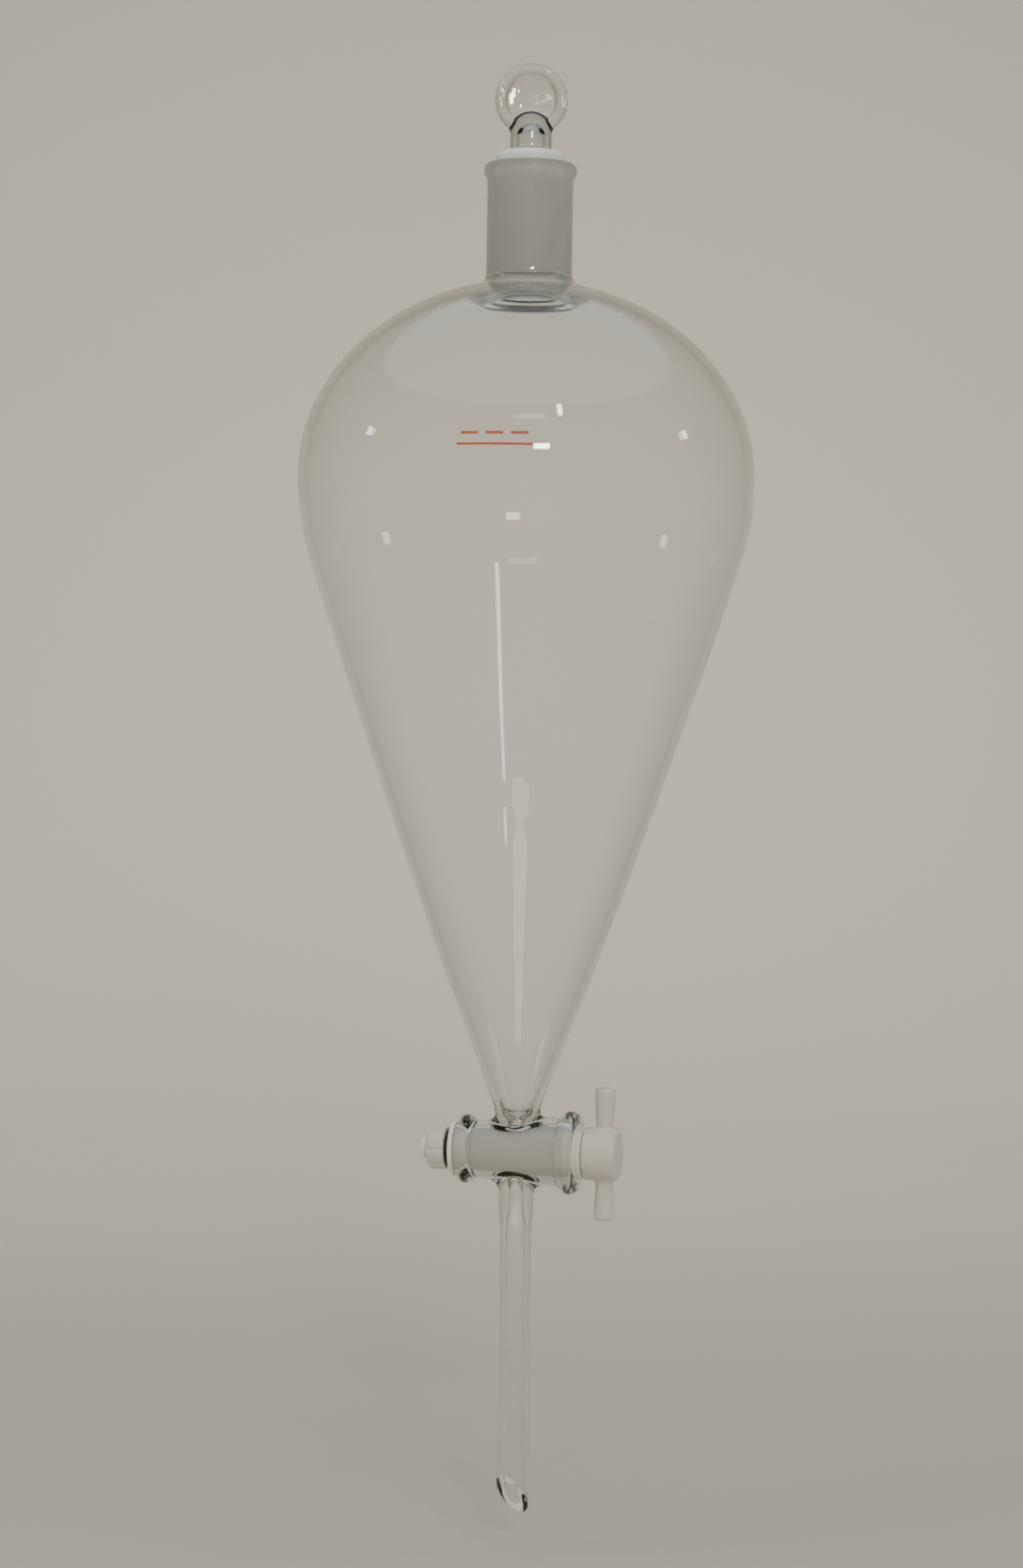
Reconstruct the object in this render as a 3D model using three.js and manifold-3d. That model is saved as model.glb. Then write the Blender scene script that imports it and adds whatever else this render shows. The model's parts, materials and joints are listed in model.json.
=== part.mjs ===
// A two-litre separatory funnel: a pear-shaped borosilicate bulb with a ground socket neck,
// a hollow ground stopper with a flat round head, and a PTFE stopcock above a bevelled stem.
// Millimetres, +Z up. The origin lies on the funnel's axis at the height where a 102 mm
// support ring meets the cone. The stopcock's axis runs along X, with its handle at +X.
import * as THREE from 'three';
import { mergeVertices } from 'three/addons/utils/BufferGeometryUtils.js';
import Module from 'manifold-3d';

// Bulb: an elliptical dome, a rounded shoulder and a slightly bowed cone.
const BULB_RADIUS = 78.6;
const BULB_EQUATOR_Z = 98.5;
const DOME_RISE = 67.9;
const SHOULDER_BEND = 97.5;
const SHOULDER_ANGLE = THREE.MathUtils.degToRad(18);
const CONE_BEND = 4500;
const CONE_ANGLE = THREE.MathUtils.degToRad(20.5);
const BULB_WALL = 3;

// Neck: a 24/40 ground socket, 24 mm wide at its mouth and tapering 1 in 10 over 40 mm.
const RIM_Z = 206.6;
const MOUTH_RADIUS = 12;
const TAPER = 0.05;
const GROUND_LENGTH = 40;
const NECK_RADIUS = 14.9;
const RIM_RADIUS = 16.1;
const RIM_HEIGHT = 5;
const RIM_FLAT_RADIUS = 14.5;
const NECK_SEAM_RADIUS = 18.5;
const NECK_FILLET = 3.8;

// Stopper: it fills the upper part of the socket and stands a little proud of the rim.
const STOPPER_BOTTOM_Z = 181;
const STOPPER_SHOULDER_Z = 208.4;
const STOPPER_NECK_Z = 211.2;
const STOPPER_DOME_Z = 224.4;
const STOPPER_NECK_RADIUS = 7.3;
const STOPPER_WALL = 2.2;
const STOPPER_VENT_RADIUS = 1.5;
const JOINT_CLEARANCE = 0.1;
const HEAD_RADIUS = 12.7;
const HEAD_CENTRE_Z = 228.7;
const HEAD_RIM_WIDTH = 4.1;
const HEAD_RIM_THICKNESS = 6;
const HEAD_WEB_THICKNESS = 3.2;
const HEAD_TURN = THREE.MathUtils.degToRad(13.5);

// Stopcock: a tapered plug in a tapered barrel, across the funnel's axis.
const COCK_Z = -133.3;
const BARREL_LEFT = -20.6;
const BARREL_RIGHT = 21.7;
const BARREL_RADIUS = 11.05;
const BARREL_TAPER = 0.078;
const END_RING_WIDTH = 5.8;
const LEFT_RING_RADIUS = 11.85;
const RIGHT_RING_RADIUS = 14.3;
const PLUG_RADIUS = 7.92;
const PLUG_TAPER = 0.0436;
const BORE_CLEARANCE = 0.12;
const RIB_RELIEF_LEFT = 15.9;
const RIB_RELIEF_RADIUS = 9.35;
const RIB_COUNT = 4;
const RIB_PITCH = 1.3;
const RIB_FIRST = 16.9;
const RIB_HEIGHT = 0.35;
const UPPER_ARM_TOP = -119.3;
const UPPER_ARM_RADIUS = 7.7;
const UPPER_PORT_RADIUS = 2.3;
const FUNNEL_FLOOR_Z = -122.4;
const LOWER_ARM_BOTTOM = -150;
const LOWER_ARM_RADIUS = 6.1;
const LOWER_PORT_RADIUS = 2.1;
const CROSS_BORE_RADIUS = 2;

// Plug ends: a collar and square shank for the handle, and a flatted thread for the nut.
const PLUG_SMALL_END = -19.8;
const COLLAR_LEFT = 22;
const COLLAR_RIGHT = 24;
const COLLAR_RADIUS = 8.65;
const SHANK_SIDE = 8;
const SHANK_END = 33;
const THREAD_RADIUS = 4;
const THREAD_END = -33.4;
const THREAD_FLAT = 3.2;

// T-handle, washer, O-ring and nut.
const HUB_LEFT = 24.3;
const HUB_RIGHT = 36.1;
const HUB_RADIUS = 9.1;
const HUB_EDGE = 1.8;
const ARM_X = 31;
const ARM_REACH = 22.7;
const ARM_ROOT_RADIUS = 2.85;
const ARM_TIP_RADIUS = 3.5;
const WASHER_LEFT = -22.6;
const WASHER_RIGHT = -20.9;
const WASHER_RADIUS = 9.65;
const O_RING_X = -23.7;
const O_RING_RADIUS = 5.6;
const O_RING_HALF_WIDTH = 0.85;
const O_RING_HALF_DEPTH = 1.2;
const NUT_LEFT = -31.1;
const NUT_RIGHT = -24.65;
const NUT_RADIUS = 7.55;
const NUT_FLUTE_DEPTH = 0.35;
const NUT_FLUTES = 8;
const SLIDING_GAP = 0.2;

// Stem: a straight drip tube whose end is cut at a slant.
const STEM_RADIUS = 5.5;
const STEM_BORE_RADIUS = 2.8;
const STEM_FLARE_RADIUS = 6.1;
const STEM_FLARE_LENGTH = 9;
const STEM_TIP_Z = -260.3;
const TIP_SLOPE = 1.35;
const TIP_DIRECTION = THREE.MathUtils.degToRad(70.5);

// The glass body's blanks are one piece of glass; here narrow seams part their solids.
const SEAM_GAP = 0.3;
const ROUND = 40;
const SMALL_ROUND = 24;
const BORE_ROUND = 16;

const wasm = await Module();
wasm.setup();

const GLASS = { color: 0xe9f0ee, roughness: 0.04, metalness: 0, transparent: true, opacity: 0.35 };
const PTFE = { color: 0xeceae2, roughness: 0.42, metalness: 0 };
const HANDLE_PLASTIC = { color: 0xe4e4de, roughness: 0.36, metalness: 0 };
const RUBBER = { color: 0x141414, roughness: 0.6, metalness: 0 };

const point = (radius, along) => new THREE.Vector2(radius, along);

// Points of an elliptical arc, by its centre, half widths and two angles.
function arc(centreX, centreY, halfX, halfY, from, to, steps) {
  return new THREE.EllipseCurve(centreX, centreY, halfX, halfY, from, to, from > to)
    .getPoints(steps);
}

// A closed manifold solid from any closed three.js geometry.
function toSolid(geometry) {
  geometry.deleteAttribute('normal');
  geometry.deleteAttribute('uv');
  const merged = mergeVertices(geometry);
  const corners = merged.getIndex().array;
  const kept = [];
  for (let i = 0; i < corners.length; i += 3) {
    const [a, b, c] = corners.subarray(i, i + 3);
    if (a !== b && b !== c && c !== a) {
      kept.push(a, b, c);
    }
  }
  return new wasm.Manifold(new wasm.Mesh({
    numProp: 3,
    vertProperties: merged.getAttribute('position').array,
    triVerts: new Uint32Array(kept),
  }));
}

function toGeometry(solid) {
  const mesh = solid.getMesh();
  const geometry = new THREE.BufferGeometry();
  geometry.setAttribute('position', new THREE.BufferAttribute(mesh.vertProperties, 3));
  geometry.setIndex(new THREE.BufferAttribute(mesh.triVerts, 1));
  geometry.computeVertexNormals();
  return geometry;
}

// Outlines run up the outside, so that the faces point out: (radius, distance along the axis).
function turnedAboutZ(outline, segments = ROUND) {
  return toSolid(new THREE.LatheGeometry(outline, segments).rotateX(Math.PI / 2));
}

function turnedAboutX(outline, segments = ROUND) {
  const geometry = new THREE.LatheGeometry(outline, segments).rotateZ(-Math.PI / 2);
  return toSolid(geometry.translate(0, 0, COCK_Z));
}

function closed(outline) {
  return [...outline, outline[0].clone()];
}

function block(width, depth, height, x, y, z) {
  return toSolid(new THREE.BoxGeometry(width, depth, height).translate(x, y, z));
}

const socketRadius = (z) => MOUTH_RADIUS - TAPER * (RIM_Z - z);
const plugRadius = (x) => PLUG_RADIUS + PLUG_TAPER * x;
const barrelRadius = (x) => BARREL_RADIUS + BARREL_TAPER * x;

// The dome's surface from its neck seam to the widest ring, at a given depth into the wall.
function domeOutline(inset) {
  const halfWidth = BULB_RADIUS - inset;
  const rise = DOME_RISE - inset;
  return arc(0, BULB_EQUATOR_Z, halfWidth, rise,
    Math.acos((NECK_SEAM_RADIUS + SEAM_GAP / 2) / halfWidth),
    Math.asin(SEAM_GAP / 2 / rise), 9);
}

// The shoulder's and the cone's surface from the widest ring down, at a given depth.
function coneOutline(inset) {
  const shoulderBend = SHOULDER_BEND - inset;
  const shoulderX = BULB_RADIUS - SHOULDER_BEND;
  const shoulder = arc(shoulderX, BULB_EQUATOR_Z, shoulderBend, shoulderBend,
    -Math.asin(SEAM_GAP / 2 / shoulderBend), -SHOULDER_ANGLE, 3);
  const coneX = shoulderX + (SHOULDER_BEND - CONE_BEND) * Math.cos(SHOULDER_ANGLE);
  const coneZ = BULB_EQUATOR_Z - (SHOULDER_BEND - CONE_BEND) * Math.sin(SHOULDER_ANGLE);
  const cone = arc(coneX, coneZ, CONE_BEND - inset, CONE_BEND - inset,
    -SHOULDER_ANGLE, -CONE_ANGLE, 3);
  return [...shoulder, ...cone.slice(1)];
}

// Height of the dome's surface at a radius, at a given depth into the wall.
function domeHeight(radius, inset) {
  const share = radius / (BULB_RADIUS - inset);
  return BULB_EQUATOR_Z + (DOME_RISE - inset) * Math.sqrt(1 - share * share);
}

function bulbDome() {
  return turnedAboutZ(closed([...domeOutline(0).reverse(), ...domeOutline(BULB_WALL)]));
}

function bulbCone() {
  const bottom = UPPER_ARM_TOP + SEAM_GAP;
  return turnedAboutZ(closed([
    point(UPPER_ARM_RADIUS, bottom),
    ...coneOutline(0).reverse(),
    ...coneOutline(BULB_WALL),
    point(UPPER_ARM_RADIUS - BULB_WALL, bottom),
  ]));
}

function neckSocket() {
  const seamRadius = NECK_SEAM_RADIUS - SEAM_GAP / 2;
  const groundEnd = RIM_Z - GROUND_LENGTH;
  const seamTop = domeHeight(seamRadius, 0);
  const seamBottom = domeHeight(seamRadius, BULB_WALL);
  const boreEnd = socketRadius(groundEnd);
  const fillet = arc(NECK_RADIUS + NECK_FILLET, seamTop + NECK_FILLET, NECK_FILLET,
    NECK_FILLET, Math.PI * 1.47, Math.PI, 4);
  const bead = arc(RIM_FLAT_RADIUS, RIM_Z - RIM_HEIGHT / 2, RIM_RADIUS - RIM_FLAT_RADIUS,
    RIM_HEIGHT / 2, -Math.PI / 2, Math.PI / 2, 6);
  const flare = arc(seamRadius, groundEnd, seamRadius - boreEnd,
    groundEnd - seamBottom, Math.PI, Math.PI * 1.5, 4);
  return turnedAboutZ(closed([
    point(seamRadius, seamTop),
    ...fillet.slice(1),
    point(NECK_RADIUS, RIM_Z - RIM_HEIGHT),
    ...bead.slice(1),
    point(MOUTH_RADIUS, RIM_Z),
    ...flare,
  ]));
}

// The head's flat disc has a thick rounded rim around a thinner web.
function stopperHead() {
  const rimInner = HEAD_RADIUS - HEAD_RIM_WIDTH;
  const rimMiddle = HEAD_RADIUS - HEAD_RIM_WIDTH / 2;
  const rim = arc(rimMiddle, 0, HEAD_RIM_WIDTH / 2, HEAD_RIM_THICKNESS / 2,
    -Math.PI * 0.8, Math.PI * 0.8, 8);
  const outline = [
    point(0, -HEAD_WEB_THICKNESS / 2),
    point(rimInner - 0.4, -HEAD_WEB_THICKNESS / 2),
    ...rim,
    point(rimInner - 0.4, HEAD_WEB_THICKNESS / 2),
    point(0, HEAD_WEB_THICKNESS / 2),
  ];
  return toSolid(new THREE.LatheGeometry(outline, SMALL_ROUND)
    .rotateZ(HEAD_TURN)
    .translate(0, 0, HEAD_CENTRE_Z));
}

// The stopper is blown hollow, with an even wall from its underside to its neck.
function stopper() {
  const radiusAt = (z) => socketRadius(z) - JOINT_CLEARANCE;
  const bottomRadius = radiusAt(STOPPER_BOTTOM_Z + 2);
  const topRadius = radiusAt(STOPPER_SHOULDER_Z);
  const domeRise = STOPPER_NECK_RADIUS;
  const domeBase = STOPPER_DOME_Z - domeRise;
  const outside = [
    point(0, STOPPER_BOTTOM_Z),
    point(bottomRadius - 2.5, STOPPER_BOTTOM_Z),
    point(bottomRadius, STOPPER_BOTTOM_Z + 2),
    ...arc(STOPPER_NECK_RADIUS, STOPPER_SHOULDER_Z, topRadius - STOPPER_NECK_RADIUS,
      STOPPER_NECK_Z - STOPPER_SHOULDER_Z, 0, Math.PI / 2, 3),
    ...arc(0, domeBase, STOPPER_NECK_RADIUS, domeRise, 0, Math.PI / 2, 4),
  ];
  const innerNeck = STOPPER_NECK_RADIUS - STOPPER_WALL;
  const inside = [
    point(0, STOPPER_BOTTOM_Z - 1),
    point(STOPPER_VENT_RADIUS, STOPPER_BOTTOM_Z - 1),
    point(STOPPER_VENT_RADIUS, STOPPER_BOTTOM_Z + STOPPER_WALL),
    point(bottomRadius - STOPPER_WALL - 1, STOPPER_BOTTOM_Z + STOPPER_WALL),
    point(topRadius - STOPPER_WALL, STOPPER_SHOULDER_Z - STOPPER_WALL),
    point(innerNeck, STOPPER_NECK_Z - STOPPER_WALL),
    ...arc(0, domeBase, innerNeck, domeRise - STOPPER_WALL, 0, Math.PI / 2, 3),
  ];
  return turnedAboutZ(outside)
    .add(stopperHead())
    .subtract(turnedAboutZ(inside, SMALL_ROUND));
}

// Barrel with rounded end rings, and the two short arms that the cone and the stem join.
function stopcockBarrel() {
  const ringBend = END_RING_WIDTH / 2;
  const ringRise = 2.1;
  const leftRing = arc(LEFT_RING_RADIUS - ringRise, BARREL_LEFT + ringBend, ringRise,
    ringBend, -Math.PI / 2, Math.PI / 2, 6);
  const rightRing = arc(RIGHT_RING_RADIUS - ringRise, BARREL_RIGHT - ringBend, ringRise,
    ringBend, -Math.PI / 2, Math.PI / 2, 6);
  const shell = turnedAboutX([
    point(0, BARREL_LEFT),
    ...leftRing,
    point(barrelRadius(BARREL_LEFT + END_RING_WIDTH), BARREL_LEFT + END_RING_WIDTH + 0.1),
    point(barrelRadius(BARREL_RIGHT - END_RING_WIDTH), BARREL_RIGHT - END_RING_WIDTH - 0.1),
    ...rightRing,
    point(0, BARREL_RIGHT),
  ]);
  const arms = turnedAboutZ([
    point(0, LOWER_ARM_BOTTOM),
    point(LOWER_ARM_RADIUS, LOWER_ARM_BOTTOM),
    point(LOWER_ARM_RADIUS, COCK_Z - barrelRadius(0) - 3),
    point(LOWER_ARM_RADIUS + 2.3, COCK_Z - barrelRadius(0) + 1),
    point(UPPER_ARM_RADIUS + 2.3, COCK_Z + barrelRadius(0) - 1),
    point(UPPER_ARM_RADIUS, UPPER_ARM_TOP),
    point(0, UPPER_ARM_TOP),
  ], SMALL_ROUND);
  const bore = turnedAboutX([
    point(0, BARREL_LEFT - 1),
    point(plugRadius(BARREL_LEFT - 1) + BORE_CLEARANCE, BARREL_LEFT - 1),
    point(plugRadius(RIB_RELIEF_LEFT) + BORE_CLEARANCE, RIB_RELIEF_LEFT),
    point(RIB_RELIEF_RADIUS, RIB_RELIEF_LEFT + 0.4),
    point(RIB_RELIEF_RADIUS, BARREL_RIGHT + 1),
    point(0, BARREL_RIGHT + 1),
  ]);
  const ports = turnedAboutZ([
    point(0, LOWER_ARM_BOTTOM - 1),
    point(LOWER_PORT_RADIUS, LOWER_ARM_BOTTOM - 1),
    point(LOWER_PORT_RADIUS, COCK_Z),
    point(UPPER_PORT_RADIUS, COCK_Z),
    point(UPPER_PORT_RADIUS, FUNNEL_FLOOR_Z - 0.8),
    point(UPPER_ARM_RADIUS - BULB_WALL, FUNNEL_FLOOR_Z),
    point(UPPER_ARM_RADIUS - BULB_WALL, UPPER_ARM_TOP + 0.2),
    point(0, UPPER_ARM_TOP + 0.2),
  ], SMALL_ROUND);
  return shell.add(arms).subtract(bore).subtract(ports);
}

function drainStem() {
  const top = LOWER_ARM_BOTTOM - SEAM_GAP;
  const flareEnd = top - STEM_FLARE_LENGTH;
  const below = STEM_TIP_Z - 1;
  const tube = turnedAboutZ(closed([
    point(STEM_BORE_RADIUS, below),
    point(STEM_RADIUS, below),
    point(STEM_RADIUS, flareEnd),
    point(STEM_FLARE_RADIUS, top),
    point(LOWER_PORT_RADIUS, top),
    point(STEM_BORE_RADIUS, flareEnd),
  ]), SMALL_ROUND);
  const cutSize = 60;
  const cutAngle = Math.atan(TIP_SLOPE);
  const cutter = new THREE.BoxGeometry(cutSize, cutSize, cutSize)
    .translate(0, 0, -cutSize / 2)
    .rotateY(cutAngle)
    .rotateZ(TIP_DIRECTION)
    .translate(0, 0, STEM_TIP_Z + TIP_SLOPE * STEM_RADIUS);
  return tube.subtract(toSolid(cutter));
}

// Tapered plug with turned sealing ribs, collar, square shank and flatted threaded end.
function stopcockPlug() {
  const ribs = [];
  for (let i = 0; i < RIB_COUNT; i += 1) {
    const x = RIB_FIRST + i * RIB_PITCH;
    const root = plugRadius(x) - 0.1;
    ribs.push(point(root, x - RIB_PITCH / 3), point(root + RIB_HEIGHT, x));
    ribs.push(point(root, x + RIB_PITCH / 3));
  }
  const body = turnedAboutX([
    point(0, PLUG_SMALL_END),
    point(plugRadius(PLUG_SMALL_END), PLUG_SMALL_END),
    point(plugRadius(RIB_RELIEF_LEFT), RIB_RELIEF_LEFT),
    ...ribs,
    point(plugRadius(COLLAR_LEFT) - 0.3, COLLAR_LEFT),
    point(COLLAR_RADIUS, COLLAR_LEFT),
    point(COLLAR_RADIUS, COLLAR_RIGHT),
    point(0, COLLAR_RIGHT),
  ]);
  const thread = turnedAboutX([
    point(0, THREAD_END),
    point(THREAD_RADIUS - 0.8, THREAD_END),
    point(THREAD_RADIUS, THREAD_END + 0.8),
    point(THREAD_RADIUS, PLUG_SMALL_END + 1),
    point(0, PLUG_SMALL_END + 1),
  ], SMALL_ROUND);
  const flatDepth = THREAD_RADIUS;
  const flat = block(PLUG_SMALL_END - THREAD_END + 2, THREAD_RADIUS * 3, flatDepth,
    (THREAD_END + PLUG_SMALL_END) / 2 - 1, 0, COCK_Z + THREAD_FLAT + flatDepth / 2);
  const shankLength = SHANK_END - COLLAR_RIGHT + 1;
  const shank = block(shankLength, SHANK_SIDE, SHANK_SIDE,
    SHANK_END - shankLength / 2, 0, COCK_Z);
  const crossBore = turnedAboutZ([
    point(0, COCK_Z - PLUG_RADIUS * 2),
    point(CROSS_BORE_RADIUS, COCK_Z - PLUG_RADIUS * 2),
    point(CROSS_BORE_RADIUS, COCK_Z + PLUG_RADIUS * 2),
    point(0, COCK_Z + PLUG_RADIUS * 2),
  ], BORE_ROUND);
  return body.add(thread.subtract(flat)).add(shank).subtract(crossBore);
}

// Moulded hub with a square pocket and two arms that widen towards their tips.
function teeHandle() {
  const hub = turnedAboutX([
    point(0, HUB_LEFT),
    point(HUB_RADIUS - 0.15, HUB_LEFT),
    ...arc(HUB_RADIUS - HUB_EDGE, HUB_RIGHT - HUB_EDGE, HUB_EDGE, HUB_EDGE,
      0, Math.PI / 2, 3),
    point(0, HUB_RIGHT),
  ]);
  const arm = [
    point(0, 0),
    point(ARM_ROOT_RADIUS, 0),
    point(ARM_ROOT_RADIUS, HUB_RADIUS),
    point(ARM_TIP_RADIUS, ARM_REACH - 1),
    point(ARM_TIP_RADIUS - 0.9, ARM_REACH),
    point(0, ARM_REACH),
  ];
  const upper = new THREE.LatheGeometry(arm, BORE_ROUND).rotateX(Math.PI / 2);
  const lower = new THREE.LatheGeometry(arm, BORE_ROUND).rotateX(-Math.PI / 2);
  const pocketSide = SHANK_SIDE + 0.4;
  const pocketEnd = SHANK_END + 0.3;
  const pocket = block(pocketEnd - HUB_LEFT + 1, pocketSide, pocketSide,
    (pocketEnd + HUB_LEFT - 1) / 2, 0, COCK_Z);
  return hub
    .add(toSolid(upper.translate(ARM_X, 0, COCK_Z)))
    .add(toSolid(lower.translate(ARM_X, 0, COCK_Z)))
    .subtract(pocket);
}

// Flat washer whose hole has the same flat as the thread, so that it turns with the plug.
function tensionWasher() {
  const thickness = WASHER_RIGHT - WASHER_LEFT;
  const disc = turnedAboutX([
    point(0, WASHER_LEFT),
    point(WASHER_RADIUS - 0.3, WASHER_LEFT),
    point(WASHER_RADIUS, WASHER_LEFT + 0.3),
    point(WASHER_RADIUS, WASHER_RIGHT),
    point(0, WASHER_RIGHT),
  ]);
  const holeRadius = THREAD_RADIUS + SLIDING_GAP;
  const hole = turnedAboutX([
    point(0, WASHER_LEFT - 1),
    point(holeRadius, WASHER_LEFT - 1),
    point(holeRadius, WASHER_RIGHT + 1),
    point(0, WASHER_RIGHT + 1),
  ], SMALL_ROUND);
  const flat = block(thickness + 4, holeRadius * 3, holeRadius,
    (WASHER_LEFT + WASHER_RIGHT) / 2, 0,
    COCK_Z + THREAD_FLAT + SLIDING_GAP + holeRadius / 2);
  return disc.subtract(hole.subtract(flat));
}

function oRing() {
  const section = arc(O_RING_RADIUS, O_RING_X, O_RING_HALF_DEPTH, O_RING_HALF_WIDTH,
    0, Math.PI * 2, 10);
  section.pop();
  return turnedAboutX(closed(section), SMALL_ROUND);
}

// Fluted nut, bevelled at its outer end, bored right through.
function retainingNut() {
  const rim = new THREE.Shape();
  const steps = NUT_FLUTES * 4;
  for (let i = 0; i < steps; i += 1) {
    const angle = (i / steps) * Math.PI * 2;
    const dip = NUT_FLUTE_DEPTH * (0.5 + 0.5 * Math.cos(angle * NUT_FLUTES));
    const radius = NUT_RADIUS - dip;
    const corner = [radius * Math.cos(angle), radius * Math.sin(angle)];
    if (i === 0) {
      rim.moveTo(...corner);
    } else {
      rim.lineTo(...corner);
    }
  }
  const prism = new THREE.ExtrudeGeometry(rim, {
    depth: NUT_RIGHT - NUT_LEFT,
    bevelEnabled: false,
  });
  const fluted = toSolid(prism.rotateY(Math.PI / 2).translate(NUT_LEFT, 0, COCK_Z));
  const bevelled = turnedAboutX([
    point(0, NUT_LEFT),
    point(NUT_RADIUS - 1.4, NUT_LEFT),
    point(NUT_RADIUS + 0.2, NUT_LEFT + 2.4),
    point(NUT_RADIUS + 0.2, NUT_RIGHT),
    point(0, NUT_RIGHT),
  ]);
  const bore = turnedAboutX([
    point(0, NUT_LEFT - 1),
    point(THREAD_RADIUS + SLIDING_GAP, NUT_LEFT - 1),
    point(THREAD_RADIUS + SLIDING_GAP, NUT_RIGHT + 1),
    point(0, NUT_RIGHT + 1),
  ], SMALL_ROUND);
  return fluted.intersect(bevelled).subtract(bore);
}

const funnel = new THREE.Group();

function addPart(name, solid, finish) {
  const mesh = new THREE.Mesh(toGeometry(solid), new THREE.MeshStandardMaterial(finish));
  mesh.name = name;
  funnel.add(mesh);
}

addPart('neck_socket', neckSocket(), GLASS);
addPart('bulb_dome', bulbDome(), GLASS);
addPart('bulb_cone', bulbCone(), GLASS);
addPart('stopcock_barrel', stopcockBarrel(), GLASS);
addPart('drain_stem', drainStem(), GLASS);
addPart('stopper', stopper(), GLASS);
addPart('stopcock_plug', stopcockPlug(), PTFE);
addPart('tee_handle', teeHandle(), HANDLE_PLASTIC);
addPart('tension_washer', tensionWasher(), PTFE);
addPart('o_ring', oRing(), RUBBER);
addPart('retaining_nut', retainingNut(), HANDLE_PLASTIC);

export default funnel;
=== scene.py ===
import itertools
import json
import math

import bmesh
import bpy
import numpy as np
from mathutils import Matrix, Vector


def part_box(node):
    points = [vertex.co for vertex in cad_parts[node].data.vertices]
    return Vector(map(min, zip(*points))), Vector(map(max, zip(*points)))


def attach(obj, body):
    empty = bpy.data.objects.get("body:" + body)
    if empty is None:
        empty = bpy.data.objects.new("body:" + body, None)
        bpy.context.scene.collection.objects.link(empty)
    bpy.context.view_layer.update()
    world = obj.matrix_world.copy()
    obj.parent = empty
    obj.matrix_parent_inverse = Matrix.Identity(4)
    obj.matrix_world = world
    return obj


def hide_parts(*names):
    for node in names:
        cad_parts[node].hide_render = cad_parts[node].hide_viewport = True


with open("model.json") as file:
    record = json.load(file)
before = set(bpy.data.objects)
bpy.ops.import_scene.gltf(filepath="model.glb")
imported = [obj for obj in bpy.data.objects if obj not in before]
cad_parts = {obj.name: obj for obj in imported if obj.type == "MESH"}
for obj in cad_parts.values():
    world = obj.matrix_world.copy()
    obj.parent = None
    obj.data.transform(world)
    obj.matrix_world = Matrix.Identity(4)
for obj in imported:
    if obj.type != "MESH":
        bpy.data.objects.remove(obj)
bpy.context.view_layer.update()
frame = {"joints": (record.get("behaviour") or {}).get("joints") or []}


# --- Glass body ---------------------------------------------------------------------------
# One fused piece of clear borosilicate glass, four blanks sealed in a flame: a ground socket
# neck, a blown pear-shaped bulb, a stopcock barrel with rolled end rings, and a drip stem
# whose end is cut at a slant and fire polished. Lengths are in millimetres.
MM = 0.001

rim_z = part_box("neck_socket")[1][2] / MM
barrel_low, barrel_high = (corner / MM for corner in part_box("stopcock_barrel"))
stem_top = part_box("drain_stem")[1][2] / MM
bulb_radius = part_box("bulb_dome")[1][0] / MM
turn_joint = next(j for j in frame["joints"] if j["name"] == "stopcock_turn")
cock_z = turn_joint["pos_m"][2] / MM

WALL = 3.0
EQUATOR_Z = 98.5
DOME_RISE = 67.9
SHOULDER_BEND = 97.5
SHOULDER_ANGLE = 18.0
CONE_BEND = 4500.0
SEAM_RADIUS = 18.6
NECK_RADIUS = 14.9
RIM_RADIUS = 16.1
RIM_HEIGHT = 5.2
MOUTH_RADIUS = 12.0
SOCKET_TAPER = 0.05
GROUND_LENGTH = 39.0
SEAL_FOOT_RADIUS = 15.4
SEAL_FOOT_Z = 158.4
NET_TOP = -117.0
NET_BOTTOM = -150.0
NET_STEP = 0.5
NET_MARGIN = 0.9
NET_SIDE = 15.3


def add_node(tree, kind, values=None, links=None, **settings):
    """Adds one node, sets its fields and unlinked inputs, and links its other inputs."""
    node = tree.nodes.new(kind)
    for field, value in settings.items():
        setattr(node, field, value)
    for key, value in (values or {}).items():
        node.inputs[key].default_value = value
    for key, socket in (links or {}).items():
        tree.links.new(socket, node.inputs[key])
    return node


def new_tree(name, sockets):
    """An empty Geometry Nodes tree with named inputs and one geometry output."""
    tree = bpy.data.node_groups.new(name, "GeometryNodeTree")
    for label, kind in sockets:
        tree.interface.new_socket(label, in_out="INPUT", socket_type="NodeSocket" + kind)
    tree.interface.new_socket("Geometry", in_out="OUTPUT", socket_type="NodeSocketGeometry")
    return tree


def finish_tree(tree, geometry, source):
    """Every tree ends the same way: smooth faces, real geometry, one material."""
    smooth = add_node(tree, "GeometryNodeSetShadeSmooth", links={"Geometry": geometry})
    solid = add_node(tree, "GeometryNodeRealizeInstances",
                     links={"Geometry": smooth.outputs["Geometry"]})
    finish = add_node(tree, "GeometryNodeSetMaterial",
                      links={"Geometry": solid.outputs["Geometry"],
                             "Material": source.outputs["Finish"]})
    add_node(tree, "NodeGroupOutput", links={"Geometry": finish.outputs["Geometry"]})


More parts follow.
